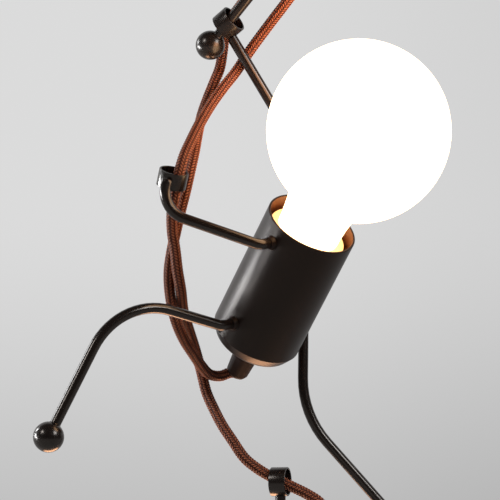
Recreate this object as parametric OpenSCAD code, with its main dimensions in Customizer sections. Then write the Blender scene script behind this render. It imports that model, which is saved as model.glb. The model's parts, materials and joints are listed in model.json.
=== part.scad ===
// Pendant lamp: a bent-rod figure with a cup for a body and a globe bulb for a head,
// holding a hanger rod and two fabric cords that come down from a ceiling canopy.
// Millimetres, +Z up, origin on the ceiling at the middle of the canopy.

/* [Cup] */
// Outside diameter of the cup
cup_d = 49.5; // [46:0.5:54]
// Length of the cup from mouth to bottom face
cup_l = 86.5; // [82:0.5:94]
// Sheet thickness of the cup
cup_wall = 1.2; // [0.8:0.1:1.6]
// Outside radius of the cup's bottom edge
cup_corner = 13; // [8:0.5:15]
// Lean of the cup to the right, in degrees
cup_lean = 26.2; // [20:0.1:32]
// Tilt of the cup's mouth to the front, in degrees
cup_tilt = 30.5; // [24:0.1:36]

/* [Limbs] */
// Diameter of the bent rods
rod_d = 5.7; // [5:0.1:6.2]
// Diameter of the turned-down end that goes through the cup's wall
spigot_d = 4; // [3:0.1:4.6]
// Diameter of the collar where a rod meets the cup
collar_d = 8; // [7:0.1:10]
// Height of that collar
collar_h = 2.2; // [1.5:0.1:3]
// Distance of the arms' roots below the cup's mouth
arm_drop = 10.5; // [9:0.5:16]
// Distance of the legs' roots below the cup's mouth
leg_drop = 65; // [58:0.5:70]
// Diameter of the ball feet
ball_d = 16; // [14:0.5:18]

/* [Hand rings] */
// Outside diameter of a hand ring
ring_d = 15.7; // [15:0.1:17]
// Wall of a hand ring
ring_wall = 1; // [0.8:0.1:1.2]
// Length of a hand ring
ring_l = 9; // [7:0.5:11]

/* [Bulb] */
// Diameter of the globe
globe_d = 95; // [80:1:110]
// Height of the globe's centre above the cup's mouth
globe_rise = 60.5; // [58:0.5:70]
// Diameter of the neck under the globe
neck_d = 38.6; // [34:0.2:40]
// Diameter of the screw cap
cap_d = 26; // [25.5:0.1:26.4]

/* [Cords] */
// Diameter of the fabric cords
cord_d = 5.6; // [5:0.1:6]

/* [Canopy] */
// Diameter of the canopy cover
canopy_d = 100; // [90:1:130]
// Height of the canopy cover
canopy_h = 24; // [22:0.5:34]
// Distance between the two fixing holes
fixing_spacing = 60; // [50:1:70]
// Diameter of the fixing holes
fixing_d = 5; // [4:0.1:6]
// Diameter of the hole for the supply cable
cable_entry_d = 12; // [8:0.5:16]

/* [Hidden] */
$fn = 64;

// Clearance of a turning fit, on the radius
run_gap = 0.05;
// Clearance of a fixed fit, on the radius
fix_gap = 0.02;
// Clearance between parts that move past each other
free_gap = 0.3;
// How far a straight runs into a bend, and how much a bend swells the rod
bend_lap = 0.3;
bend_swell = 0.02;

rod_r = rod_d / 2;
ring_r = ring_d / 2;
ball_r = ball_d / 2;
cup_r = cup_d / 2;
cup_bore_r = cup_r - cup_wall;
shoulder_r = cup_r + collar_h;

// Middle of the cup's mouth, and the cup's own axes
mouth = [-1.1, 0, -235.8];
cup_x = [cos(cup_lean), 0, -sin(cup_lean)];
cup_y = [sin(cup_tilt) * sin(cup_lean), cos(cup_tilt), sin(cup_tilt) * cos(cup_lean)];
cup_up = [cos(cup_tilt) * sin(cup_lean), -sin(cup_tilt), cos(cup_tilt) * cos(cup_lean)];

// Where round the cup the limbs leave it
left_arm_turn = 233;
left_leg_turn = 235.5;
right_turn = 64.5;
limbs = [[left_arm_turn, arm_drop], [right_turn, arm_drop], [left_leg_turn, leg_drop],
  [right_turn, leg_drop]];

// Plate, socket and cover of the ceiling fitting
plate_t = 3;
plate_d = canopy_d - 8;
cable_entry_y = -24;
socket_d = 16;
socket_h = 12;
anchor_d = 10;
anchor_h = 11;
anchor_x = 14;
cover_wall = 1.2;
cover_corner = 4;
grommet_d = 10;
grommet_lip_d = 12.4;
grommet_bore_d = cord_d + 0.8;
stop_d = 13;
stop_h = 7;
grub_d = 3;

// Hanger: straight down from the socket, then slanting to its ball
hanger_bend = [0, 0, -73];
hanger_end = [-55.6, 38, -138.5];
hanger_r = 25;
hanger_up = unit(hanger_bend - hanger_end);
hanger_side = unit([0, 1, 0] - hanger_up * hanger_up[1]);

// Hand rings: the right one lies against the hanger, the left one is round the link cord
right_ring_at = hanger_end + hanger_up * (ball_r + 2.4 + ring_l / 2)
  + hanger_side * (ring_r - ring_wall - rod_r - 0.3);
right_ring_up = unit([0.72, -0.38, 0.58]);
left_ring_at = [-74.6, -9, -212.6];
left_ring_up = unit([0.21, -0.3, 0.93]);
left_weld = unit([-0.25, -0.96, -0.1]);
lower_ring_at = [-17.8, 30, -375.3];
lower_ring_up = unit([0.955, -0.28, 0.035]);
lower_weld = unit(lower_ring_up * lower_ring_up[2] - [0, 0, 1]);
weld_sink = 0.8;

// Limb paths: from the root outwards
left_arm_knee = [-81.2, -17, -229.2];
left_arm_end = left_ring_at + left_weld * (ring_r + rod_r - weld_sink) - left_ring_up * 0.6;
left_arm_path = [root(left_arm_turn, arm_drop, shoulder_r), root(left_arm_turn, arm_drop, cup_r + 9),
  left_arm_knee, left_arm_end];
right_arm_path = [root(right_turn, arm_drop, shoulder_r), root(right_turn, arm_drop, cup_r + 12),
  right_ring_at + [-1.6, 0, -1.6]];
left_foot_at = [-137.1, -36, -345.7];
left_leg_path = [root(left_leg_turn, leg_drop, shoulder_r + free_gap),
  root(left_leg_turn, leg_drop, cup_r + 9), [-101.4, -22, -273.6], left_foot_at];
right_foot_at = [58.6, 56, -412.7];
right_leg_path = [root(right_turn, leg_drop, shoulder_r + free_gap),
  root(right_turn, leg_drop, cup_r + 12), [-5, 54, -340.8], right_foot_at];

// Lampholder levels, down from the cup's mouth
rim_top = -6.5;
rim_t = 2.2;
rim_r = cup_bore_r - 2.4;
skirt_r = 17.5;
shell_t = 0.7;
shell_r = cap_d / 2 + run_gap + shell_t;
core_top = -37;
core_foot = -40;
holder_foot = -62;
nipple_r = 4.98;
nipple_bore_r = 3.2;
nipple_top = -56;
nut_flat = 14;
nut_h = 3;
grip_l = 20;
grip_d = 14.8;
grip_end_d = 12.2;
grip_screw_up = 4.6;

// Bulb levels, up from the cup's mouth
neck_foot = rim_top + 0.5;
globe_r = globe_d / 2;
neck_r = neck_d / 2;
globe_cut = globe_rise - sqrt(globe_r * globe_r - neck_r * neck_r);
cap_foot = neck_foot - 25;

// Routes of the cords, chosen by eye
feed_route = [[-14, 0, -14], [-14, 0, -30], [-14, 0, -46], [-14.5, 2, -62], [-18, 9, -79],
  [-25.3, 18.8, -95], [-34.4, 29.3, -111], [-45.3, 37.3, -125.4], [-48.6, 40.7, -129.6],
  [-48.4, 46.6, -135], [-49.2, 48.4, -142.3], [-50.6, 47.3, -150.4], [-53.6, 43.7, -158.4],
  [-57, 38.2, -167.5], [-60, 30.5, -177], [-62, 22, -187], [-63.7, 13, -198], [-65.7, 7, -208],
  [-68, 4.5, -218.5], [-70.8, 4.5, -229.5], [-73.2, 5, -240], [-75.5, 5.5, -250.5], [-77, 6.5, -261],
  [-76.8, 8, -270.7], [-75.3, 10.5, -281], [-72.9, 14.5, -290], [-69.4, 21.5, -298.4],
  [-64.8, 29.5, -306.2], [-60.6, 38, -313], [-57.2, 44.2, -317.3], [-54.4, 47.8, -318.8],
  [-50, 51, -319.2], [-45.4, 52.8, -317.7]];
link_route = [[14, 0, -14], [14, 0, -30], [14, 0, -46], [13, 2, -62], [8, 9, -80], [0, 18, -97],
  [-13.5, 28, -115], [-23.7, 38, -127.5], [-34.3, 42.5, -141.5], [-41.5, 40, -152.5],
  [-48.2, 33, -161.5], [-54.5, 24, -171], [-60, 12.5, -181.1], [-65.1, 0.5, -192.2],
  [-68.9, -8, -201.7], [-71.4, -10.4, -211.1], [-73.2, -9, -220.5], [-74.9, -5.5, -230],
  [-74.9, -3, -240], [-73.5, -1, -250], [-72.3, 1, -260.5], [-70.7, 6, -271], [-69.7, 17, -282.6],
  [-66.9, 30, -293.6], [-64, 43, -304.2], [-61, 51.5, -316], [-58, 51.5, -328.2], [-53.7, 46, -337.4],
  [-49, 40, -345.8], [-44, 35.5, -352.9], [-37, 31.8, -362.6], [-31, 31.2, -367.6],
  [-25.1, 30.8, -371.3], [-17.8, 30, -374.8], [-10.2, 29, -378.4], [-3.2, 28.4, -381.8],
  [3.5, 28, -386.2], [8.5, 28, -392.8], [10.6, 28, -400.5], [11, 28, -409]];
grip_sink = 1;
grip_end = on_cup([0, 0, grip_sink - cup_l - grip_l]);
link_end = link_route[len(link_route) - 1];

// Connector at the link cord's end
connector_d = 16;
connector_l = 24;
link_gland_h = 8;
link_bore_d = 8;
link_bore_l = 9;
link_contact_t = 1.5;
link_contact_d = 6;
drop_foot = -405;
drop_top = lower_ring_at + lower_weld * ring_r;
drop_ball_at = [drop_top[0], drop_top[1], drop_foot];

function unit(v) = v / norm(v);
function on_cup(p) = mouth + cup_x * p[0] + cup_y * p[1] + cup_up * p[2];
function root(turn, drop, r) = on_cup([r * cos(turn), r * sin(turn), -drop]);

// Straight round bar between two points
module bar(a, b, r) {
  v = b - a;
  translate(a)
    rotate([0, acos(v[2] / norm(v)), atan2(v[1], v[0])])
      cylinder(r = r, h = norm(v));
}

// Part of a ring that turns a bar at the corner b on the way from a to c
module bend(a, b, c, bend_r, r) {
  u = unit(b - a);
  w = unit(c - b);
  turn = acos(u * w);
  n = unit(cross(u, w));
  inward = cross(n, u);
  start = b - u * (bend_r * tan(turn / 2));
  o = start + inward * bend_r;
  multmatrix([[-inward[0], u[0], n[0], o[0]], [-inward[1], u[1], n[1], o[1]],
      [-inward[2], u[2], n[2], o[2]], [0, 0, 0, 1]])
    rotate_extrude(angle = turn)
      translate([bend_r, 0])
        circle(r = r);
}

function setback(a, b, c, bend_r) = bend_r * tan(acos(unit(b - a) * unit(c - b)) / 2);

// Bar along a path with one bend radius per inner point
module bent_bar(path, radii, r) {
  last = len(path) - 1;
  for (i = [1 : last]) {
    a = path[i - 1];
    b = path[i];
    u = unit(b - a);
    from = i == 1 ? 0 : setback(path[i - 2], a, b, radii[i - 2]) - bend_lap;
    to = i == last ? 0 : setback(a, b, path[i + 1], radii[i - 1]) - bend_lap;
    bar(a + u * from, b - u * to, r);
    if (i < last)
      bend(a, b, path[i + 1], radii[i - 1], r + bend_swell);
  }
}

// Tube of a cord: a ring of corners at each route point
module cord_tube(route, r, sides) {
  last = len(route) - 1;
  ways = [for (i = [0 : last]) unit(route[min(i + 1, last)] - route[max(i - 1, 0)])];
  corners = [for (i = [0 : last])
    let (across = unit(cross(ways[i], [0.3, 1, 0])), up = cross(across, ways[i]))
      for (k = [0 : sides - 1])
        route[i] + across * r * cos(360 * k / sides) + up * r * sin(360 * k / sides)];
  foot = [for (k = [0 : sides - 1]) k];
  head = [for (k = [sides - 1 : -1 : 0]) last * sides + k];
  walls = [for (i = [0 : last - 1]) for (k = [0 : sides - 1])
    let (m = (k + 1) % sides)
      each [[i * sides + k, (i + 1) * sides + k, (i + 1) * sides + m],
        [i * sides + k, (i + 1) * sides + m, i * sides + m]]];
  polyhedron(points = corners, faces = concat([foot], [head], walls));
}

// Puts its child in the cup's own frame, with the mouth's middle at zero
module in_cup() {
  translate(mouth)
    rotate([cup_tilt, cup_lean, 0])
      children();
}

// Turns its child to the place of a limb on the cup, with X pointing outwards
module at_root(turn, drop) {
  translate([0, 0, -drop])
    rotate([0, 0, turn])
      rotate([0, 90, 0])
        children();
}

// Round tube
module tube(outer_r, inner_r, h) {
  difference() {
    cylinder(r = outer_r, h = h);
    translate([0, 0, -1])
      cylinder(r = inner_r, h = h + 2);
  }
}

// Closed cup seen from outside: a can with a rounded bottom edge
module can(r, h, corner) {
  rotate_extrude()
    union() {
      translate([0, -h])
        square([r - corner, h]);
      translate([0, corner - h])
        square([r, h - corner]);
      intersection() {
        translate([r - corner, corner - h])
          circle(r = corner);
        translate([0, -h])
          square([r, 2 * corner]);
      }
    }
}

// Ceiling fitting

module ceiling_plate() {
  color("silver")
    translate([0, 0, -plate_t])
      difference() {
        cylinder(d = plate_d, h = plate_t);
        for (s = [-1, 1])
          translate([s * fixing_spacing / 2, 0, -1])
            cylinder(d = fixing_d, h = plate_t + 2);
        translate([0, cable_entry_y, -1])
          cylinder(d = cable_entry_d, h = plate_t + 2);
      }
}

module hanger_socket() {
  color("silver")
    translate([0, 0, -plate_t - socket_h])
      difference() {
        tube(socket_d / 2, rod_r + fix_gap, socket_h);
        translate([0, 0, socket_h / 2])
          rotate([-90, 0, 0])
            cylinder(d = grub_d + 2 * fix_gap, h = socket_d);
      }
}

module socket_screw() {
  color("dimgray")
    translate([0, rod_r + fix_gap, -plate_t - socket_h / 2])
      rotate([-90, 0, 0])
        cylinder(d = grub_d, h = socket_d / 2 - rod_r);
}

module cord_anchors() {
  color("dimgray")
    for (s = [-1, 1])
      translate([s * anchor_x, 0, -plate_t - anchor_h])
        cylinder(d = anchor_d, h = anchor_h);
}

module terminal_block() {
  color("white")
    translate([-12, 20, -plate_t - 11])
      difference() {
        cube([24, 12, 11]);
        for (x = [6, 18])
          translate([x, 6, -1])
            cylinder(d = 4 + 2 * fix_gap, h = 7);
      }
}

module terminal_screws() {
  color("gold")
    for (x = [-6, 6])
      translate([x, 26, -plate_t - 12])
        cylinder(d = 4, h = 7);
}

module canopy_cover() {
  color("saddlebrown")
    difference() {
      can(canopy_d / 2, canopy_h, cover_corner);
      translate([0, 0, cover_wall])
        can(canopy_d / 2 - cover_wall, canopy_h, cover_corner - cover_wall);
      translate([0, 0, -canopy_h - 1])
        cylinder(d = rod_d + 1, h = canopy_h);
      for (s = [-1, 1])
        translate([s * anchor_x, 0, -canopy_h - 1])
          cylinder(d = grommet_d + 2 * fix_gap, h = canopy_h);
    }
}

module cover_grommets() {
  color("black")
    for (s = [-1, 1])
      translate([s * anchor_x, 0, -canopy_h])
        difference() {
          union() {
            translate([0, 0, -1.6])
              cylinder(d = grommet_lip_d, h = 1.6);
            cylinder(d = grommet_d, h = cover_wall + 1);
          }
          translate([0, 0, -3])
            cylinder(d = grommet_bore_d, h = 8);
        }
}

module cover_collar() {
  color("saddlebrown")
    translate([0, 0, -canopy_h - stop_h])
      difference() {
        tube(stop_d / 2, rod_r + run_gap, stop_h);
        translate([0, 0, stop_h / 2])
          rotate([90, 0, 0])
            cylinder(d = grub_d + 2 * fix_gap, h = stop_d);
      }
}

module collar_screw() {
  color("dimgray")
    translate([0, -rod_r - free_gap, -canopy_h - stop_h / 2])
      rotate([90, 0, 0])
        union() {
          cylinder(d = grub_d, h = stop_d / 2 - rod_r - free_gap);
          translate([0, 0, stop_d / 2 - rod_r - free_gap])
            cylinder(d = 5, h = 3);
        }
}

module hanger_rod() {
  color("saddlebrown")
    bent_bar([[0, 0, -plate_t], hanger_bend, hanger_end - hanger_up * (ball_r / 4)], [hanger_r], rod_r);
}

module hanger_ball() {
  color("saddlebrown")
    foot_ball(hanger_end, hanger_up);
}

// Ball with a blind hole for the rod that comes in along the direction up
module foot_ball(at, up) {
  translate(at)
    rotate([0, acos(up[2]), atan2(up[1], up[0])])
      rotate_extrude()
        difference() {
          intersection() {
            circle(r = ball_r);
            translate([0, -ball_r])
              square(ball_d);
          }
          translate([-1, -ball_r / 4])
            square([rod_r + run_gap + 1, ball_d]);
        }
}

// Body of the figure

module body_cup() {
  color("saddlebrown")
    in_cup()
      difference() {
        can(cup_r, cup_l, cup_corner);
        translate([0, 0, cup_wall])
          can(cup_bore_r, cup_l, cup_corner - cup_wall);
        translate([0, 0, -cup_l - 1])
          cylinder(r = nipple_r + fix_gap, h = cup_wall + 2);
        for (limb = limbs)
          at_root(limb[0], limb[1])
            cylinder(d = spigot_d + 2 * run_gap, h = cup_d);
      }
}

module limb_collars() {
  color("saddlebrown")
    in_cup()
      difference() {
        for (limb = limbs)
          at_root(limb[0], limb[1])
            translate([0, 0, cup_r - 2])
              tube(collar_d / 2, spigot_d / 2 + run_gap, collar_h + 2);
        translate([0, 0, -cup_l])
          cylinder(r = cup_r, h = cup_l);
      }
}

// Turned-down end of a limb, with the head that keeps it in the cup
module limb_spigot(turn, drop, gap) {
  head_top = cup_bore_r - 0.5;
  in_cup()
    at_root(turn, drop)
      union() {
        translate([0, 0, head_top - 1])
          cylinder(d = spigot_d + 2, h = 1);
        translate([0, 0, head_top - 0.5])
          cylinder(d = spigot_d, h = shoulder_r + gap - head_top + 1.5);
      }
}

module lampholder_skirt() {
  color("white")
    in_cup()
      difference() {
        union() {
          translate([0, 0, rim_top - rim_t])
            cylinder(r = rim_r, h = rim_t);
          translate([0, 0, core_foot])
            cylinder(r = skirt_r, h = rim_top - core_foot);
        }
        translate([0, 0, core_foot - 1])
          cylinder(r = shell_r + fix_gap, h = cup_l);
      }
}

module lampholder_cap() {
  color("white")
    in_cup()
      rotate_extrude()
        difference() {
          polygon([[0, core_foot], [skirt_r, core_foot], [skirt_r, core_foot - 8], [9, holder_foot + 4],
            [9, holder_foot], [0, holder_foot]]);
          polygon([[0, core_foot + 1], [shell_r - 2, core_foot + 1], [shell_r - 2, core_foot - 6],
            [7, nipple_top + 3], [0, nipple_top + 3]]);
          translate([0, holder_foot - 1])
            square([nipple_bore_r, cup_l]);
          translate([0, holder_foot - 1])
            square([nipple_r + fix_gap, nipple_top - holder_foot + 1]);
        }
}

module lampholder_core() {
  color("ivory")
    in_cup()
      translate([0, 0, core_foot])
        difference() {
          cylinder(r = shell_r - fix_gap, h = core_top - core_foot);
          translate([8, 0, -1])
            cylinder(r = 1.5, h = 6);
        }
}

module screw_shell() {
  color("gold")
    in_cup()
      translate([0, 0, core_top])
        tube(shell_r, shell_r - shell_t, rim_top - 2.5 - core_top);
}

module centre_contact() {
  color("gold")
    in_cup()
      translate([0, 0, core_top])
        union() {
          cylinder(r = 2, h = 1.5);
          translate([0, 0, 1.2])
            cylinder(r = 4.5, h = 0.6);
        }
}

module threaded_nipple() {
  color("gold")
    in_cup()
      translate([0, 0, -cup_l - 9])
        tube(nipple_r, nipple_bore_r, cup_l + 9 + nipple_top);
}

module nipple_nut() {
  color("gold")
    in_cup()
      translate([0, 0, -cup_l + cup_wall])
        difference() {
          cylinder(d = nut_flat / cos(30), h = nut_h, $fn = 6);
          translate([0, 0, -1])
            cylinder(r = nipple_r + fix_gap, h = nut_h + 2);
        }
}

module cord_grip() {
  color("black")
    in_cup()
      translate([0, 0, -cup_l - grip_l])
        difference() {
          union() {
            cylinder(d1 = grip_end_d - 2, d2 = grip_end_d, h = 1.5);
            translate([0, 0, 1.5])
              cylinder(d1 = grip_end_d, d2 = grip_d, h = grip_l - 1.5);
          }
          translate([0, 0, grip_l - 10])
            cylinder(r = nipple_r + fix_gap, h = 11);
          translate([0, 0, grip_screw_up])
            rotate([-90, 0, 0])
              cylinder(d = grub_d + 2 * fix_gap, h = grip_d);
        }
}

module grip_screw() {
  color("dimgray")
    in_cup()
      translate([0, 1, -cup_l - grip_l + grip_screw_up])
        rotate([-90, 0, 0])
          cylinder(d = grub_d, h = grip_end_d / 2);
}

// Limbs

module left_arm() {
  color("saddlebrown")
    difference() {
      union() {
        limb_spigot(left_arm_turn, arm_drop, 0);
        bent_bar(left_arm_path, [6, 15], rod_r);
      }
      ring_core(left_ring_at, left_ring_up);
    }
}

module left_hand_ring() {
  color("saddlebrown")
    hand_ring(left_ring_at, left_ring_up);
}

module right_arm() {
  color("saddlebrown")
    difference() {
      union() {
        limb_spigot(right_turn, arm_drop, 0);
        bent_bar(right_arm_path, [6.5], rod_r);
      }
      ring_core(right_ring_at, right_ring_up);
    }
}

module right_hand_ring() {
  color("saddlebrown")
    hand_ring(right_ring_at, right_ring_up);
}

// Short tube round a cord
module hand_ring(at, up) {
  difference() {
    bar(at - up * (ring_l / 2), at + up * (ring_l / 2), ring_r);
    bar(at - up * ring_l, at + up * ring_l, ring_r - ring_wall);
  }
}

// Room that a hand ring takes out of the rod welded to it
module ring_core(at, up) {
  bar(at - up * (ring_l * 2), at + up * (ring_l * 2), ring_r);
}

module left_leg() {
  color("saddlebrown")
    union() {
      limb_spigot(left_leg_turn, leg_drop, free_gap);
      bent_bar(into_ball(left_leg_path), [6, 38], rod_r);
    }
}

module left_foot() {
  color("saddlebrown")
    foot_ball(left_foot_at, way_in(left_leg_path));
}

module right_leg() {
  color("saddlebrown")
    union() {
      limb_spigot(right_turn, leg_drop, free_gap);
      bent_bar(into_ball(right_leg_path), [7, 52], rod_r);
    }
}

module right_foot() {
  color("saddlebrown")
    foot_ball(right_foot_at, way_in(right_leg_path));
}

// Direction from a leg's ball back up its rod
function way_in(path) = unit(path[2] - path[3]);
function into_ball(path) = [path[0], path[1], path[2], path[3] - way_in(path) * (ball_r / 4)];

// Bulb

module bulb_globe() {
  color("white")
    in_cup()
      difference() {
        translate([0, 0, globe_rise])
          sphere(r = globe_r);
        translate([0, 0, globe_rise])
          sphere(r = globe_r - 1.2);
        translate([0, 0, globe_cut - globe_d])
          cylinder(r = globe_r, h = globe_d);
      }
}

module bulb_neck() {
  color("white")
    in_cup()
      translate([0, 0, neck_foot])
        difference() {
          cylinder(r1 = neck_r - 2.3, r2 = neck_r, h = globe_cut - neck_foot);
          translate([0, 0, 2])
            cylinder(r1 = neck_r - 4.3, r2 = neck_r - 2.2, h = globe_cut - neck_foot);
          translate([0, 0, -1])
            cylinder(r = cap_d / 2 - 2, h = 6);
        }
}

module bulb_cap() {
  color("silver")
    in_cup()
      translate([0, 0, cap_foot])
        tube(cap_d / 2, cap_d / 2 - 0.6, neck_foot - cap_foot);
}

module bulb_insulator() {
  color("black")
    in_cup()
      translate([0, 0, cap_foot - 2])
        cylinder(r1 = 6, r2 = cap_d / 2 - 0.3, h = 2);
}

module bulb_tip() {
  color("silver")
    in_cup()
      translate([0, 0, cap_foot - 3])
        cylinder(r = 4.5, h = 1);
}

// Cords and what they carry

module feed_cord() {
  color("brown")
    cord_tube(concat(feed_route, [grip_end]), cord_d / 2, 10);
}

module link_cord() {
  color("brown")
    cord_tube(link_route, cord_d / 2, 10);
}

module lower_ring() {
  color("saddlebrown")
    hand_ring(lower_ring_at, lower_ring_up);
}

module drop_rod() {
  color("saddlebrown")
    difference() {
      bar(drop_ball_at - [0, 0, ball_r / 4], drop_top + [0, 0, 2], rod_r);
      ring_core(lower_ring_at, lower_ring_up);
    }
}

module drop_ball() {
  color("saddlebrown")
    foot_ball(drop_ball_at, [0, 0, 1]);
}

module connector_gland() {
  color("black")
    translate(link_end - [0, 0, link_gland_h])
      cylinder(d1 = connector_d - 2, d2 = cord_d + 2.4, h = link_gland_h);
}

module connector_body() {
  color("black")
    translate(link_end - [0, 0, link_gland_h + connector_l])
      difference() {
        union() {
          cylinder(d1 = connector_d - 3, d2 = connector_d, h = 1.5);
          translate([0, 0, 1.5])
            cylinder(d = connector_d, h = connector_l - 1.5);
        }
        translate([0, 0, -1])
          cylinder(d = link_bore_d, h = link_bore_l + 1);
        translate([0, 0, link_bore_l - 1])
          cylinder(d = link_contact_d, h = link_contact_t + 1);
      }
}

module link_contact() {
  color("gold")
    translate(link_end - [0, 0, link_gland_h + connector_l - link_bore_l])
      cylinder(d = link_contact_d - 2 * fix_gap, h = link_contact_t);
}

ceiling_plate();
hanger_socket();
socket_screw();
cord_anchors();
terminal_block();
terminal_screws();
canopy_cover();
cover_grommets();
cover_collar();
collar_screw();
hanger_rod();
hanger_ball();
body_cup();
limb_collars();
lampholder_skirt();
lampholder_cap();
lampholder_core();
screw_shell();
centre_contact();
threaded_nipple();
nipple_nut();
cord_grip();
grip_screw();
left_arm();
left_hand_ring();
right_arm();
right_hand_ring();
left_leg();
left_foot();
right_leg();
right_foot();
bulb_globe();
bulb_neck();
bulb_cap();
bulb_insulator();
bulb_tip();
feed_cord();
link_cord();
lower_ring();
drop_rod();
drop_ball();
connector_gland();
connector_body();
link_contact();
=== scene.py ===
import bmesh
import bpy
import json
import math
import numpy as np
from mathutils import Matrix, Quaternion, Vector


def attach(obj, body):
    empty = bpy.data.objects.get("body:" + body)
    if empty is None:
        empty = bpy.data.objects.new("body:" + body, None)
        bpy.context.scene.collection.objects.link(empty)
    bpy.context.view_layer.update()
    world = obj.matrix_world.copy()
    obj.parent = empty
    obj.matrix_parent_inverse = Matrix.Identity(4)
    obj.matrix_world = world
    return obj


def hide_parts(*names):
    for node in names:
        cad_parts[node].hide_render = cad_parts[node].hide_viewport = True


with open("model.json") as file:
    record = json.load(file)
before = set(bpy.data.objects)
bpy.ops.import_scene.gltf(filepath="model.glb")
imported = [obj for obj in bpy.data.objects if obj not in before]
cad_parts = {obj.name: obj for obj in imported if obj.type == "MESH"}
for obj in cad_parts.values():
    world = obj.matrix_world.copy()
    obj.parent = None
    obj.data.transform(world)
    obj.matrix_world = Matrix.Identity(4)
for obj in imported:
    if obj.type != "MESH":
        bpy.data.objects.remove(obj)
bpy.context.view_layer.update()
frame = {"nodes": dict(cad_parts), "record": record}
scene = bpy.context.scene
scene.view_settings.view_transform = "Standard"
nodeObjects = {name: bpy.data.objects[name] for name in frame["nodes"] if name in bpy.data.objects}
mm = 0.001  # pieces are laid out in mm and kept in metres
print("frame loaded:", len(frame["nodes"]), "nodes,", len(nodeObjects), "objects")

# camera, level with the cup
cameraSetup = {"place": (-0.034, -1.2, -0.25), "fieldWidth": 0.26385, "distance": 1.2, "sensor": 36,
               "near": 0.01, "far": 60}
cameraData = bpy.data.cameras.new("camera")
cameraData.sensor_fit = "HORIZONTAL"
cameraData.sensor_width = cameraSetup["sensor"]
cameraData.lens = cameraSetup["sensor"] * cameraSetup["distance"] / cameraSetup["fieldWidth"]
cameraData.clip_start = cameraSetup["near"]
cameraData.clip_end = cameraSetup["far"]
camera = bpy.data.objects.new("camera", cameraData)
camera.location = cameraSetup["place"]
camera.rotation_euler = (math.radians(90), 0, 0)
scene.collection.objects.link(camera)
scene.camera = camera
print("camera set")

# the cup's own axes, with the middle of its mouth as their origin
cupSetup = {"lean": 26.2, "tilt": 30.5, "mouth": (-1.1, 0, -235.8), "length": 86.5, "gripLength": 20.0}
cupTurn = Matrix.Rotation(math.radians(cupSetup["lean"]), 3, "Y") @ Matrix.Rotation(
    math.radians(cupSetup["tilt"]), 3, "X")
cupMouth = Vector(cupSetup["mouth"])
cupFrame = cupTurn.to_4x4()
cupFrame.translation = cupMouth


def onCup(x, y, z):
    return cupMouth + cupTurn @ Vector((x, y, z))


def limbRoot(turn, drop, r):
    # a point r from the cup's axis, drop below its mouth
    a = math.radians(turn)
    return onCup(r * math.cos(a), r * math.sin(a), -drop)


def axisFrame(origin, up):
    # local z along up, x kept as level as it can be
    w = Vector(up).normalized()
    side = Vector((0, 1, 0)) if abs(w.y) < 0.9 else Vector((1, 0, 0))
    u = side.cross(w).normalized()
    v = w.cross(u)
    m = Matrix((u, v, w)).transposed().to_4x4()
    m.translation = Vector(origin)
    return m


def addMesh(name, verts, faces, sharp=40):
    # vertices come in mm; edges sharper than the given angle stay hard
    mesh = bpy.data.meshes.new(name)
    verts = np.asarray(verts, dtype=float) * mm
    mesh.from_pydata(verts.tolist(), [], [list(f) for f in faces])
    mesh.update()
    mesh.shade_smooth()
    mesh.set_sharp_from_angle(angle=math.radians(sharp))
    obj = bpy.data.objects.new(name, mesh)
    scene.collection.objects.link(obj)
    return obj


def softProfile(points, closed=False, steps=4):
    # points are (r, z) or (r, z, rounding): each rounding becomes a small arc
    tiny = 1e-4
    sideShare = 0.49  # an arc takes less than half of each side
    n = len(points)
    out = []
    for i, p in enumerate(points):
        rounding = p[2] if len(p) > 2 else 0
        b = Vector((p[0], p[1]))
        if rounding <= 0 or (not closed and i in (0, n - 1)):
            out.append((b.x, b.y))
            continue
        a = Vector(points[i - 1][:2])
        c = Vector(points[(i + 1) % n][:2])
        u = (a - b).normalized()
        w = (c - b).normalized()
        half = math.acos(max(-1, min(1, u.dot(w)))) / 2
        back = min(rounding / max(math.tan(half), tiny), (a - b).length * sideShare,
                   (c - b).length * sideShare)
        r = back * math.tan(half)
        mid = (u + w).normalized()
        centre = b + mid * (r / max(math.sin(half), tiny))
        start = b + u * back - centre
        stop = b + w * back - centre
        sweep = math.atan2(start.x * stop.y - start.y * stop.x, start.dot(stop))
        for k in range(steps + 1):
            t = sweep * k / steps
            out.append((centre.x + start.x * math.cos(t) - start.y * math.sin(t),
                        centre.y + start.x * math.sin(t) + start.y * math.cos(t)))
    return out


def turned(profile, place, closed=False, count=64, shape=None):
    # revolves a profile about local z; shape(r, z, angle) may change the radius
    onAxis = 1e-6
    verts, rows = [], []
    for r, z in profile:
        if r < onAxis:
            rows.append([len(verts)])
            verts.append((0, 0, z))
            continue
        rows.append(list(range(len(verts), len(verts) + count)))
        for k in range(count):
            a = 2 * math.pi * k / count
            q = shape(r, z, a) if shape else r
            verts.append((q * math.cos(a), q * math.sin(a), z))
    faces = []
    pairs = list(zip(rows[:-1], rows[1:])) + ([(rows[-1], rows[0])] if closed else [])
    for low, high in pairs:
        for k in range(count):
            m = (k + 1) % count
            if len(low) == 1 and len(high) == 1:
                continue
            if len(low) == 1:
                faces.append((low[0], high[m], high[k]))
            elif len(high) == 1:
                faces.append((low[k], low[m], high[0]))
            else:
                faces.append((low[k], low[m], high[m], high[k]))
    verts = [place @ Vector(v) for v in verts]
    return verts, faces


def outward(obj):
    # makes the face normals point out of the closed shape
    bm = bmesh.new()
    bm.from_mesh(obj.data)
    bmesh.ops.recalc_face_normals(bm, faces=bm.faces)
    bm.to_mesh(obj.data)
    bm.free()
    return obj


def turnedPiece(name, profile, place, closed=False, count=64, shape=None, sharp=40):
    verts, faces = turned(profile, place, closed, count, shape)
    return outward(addMesh(name, verts, faces, sharp))


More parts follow.
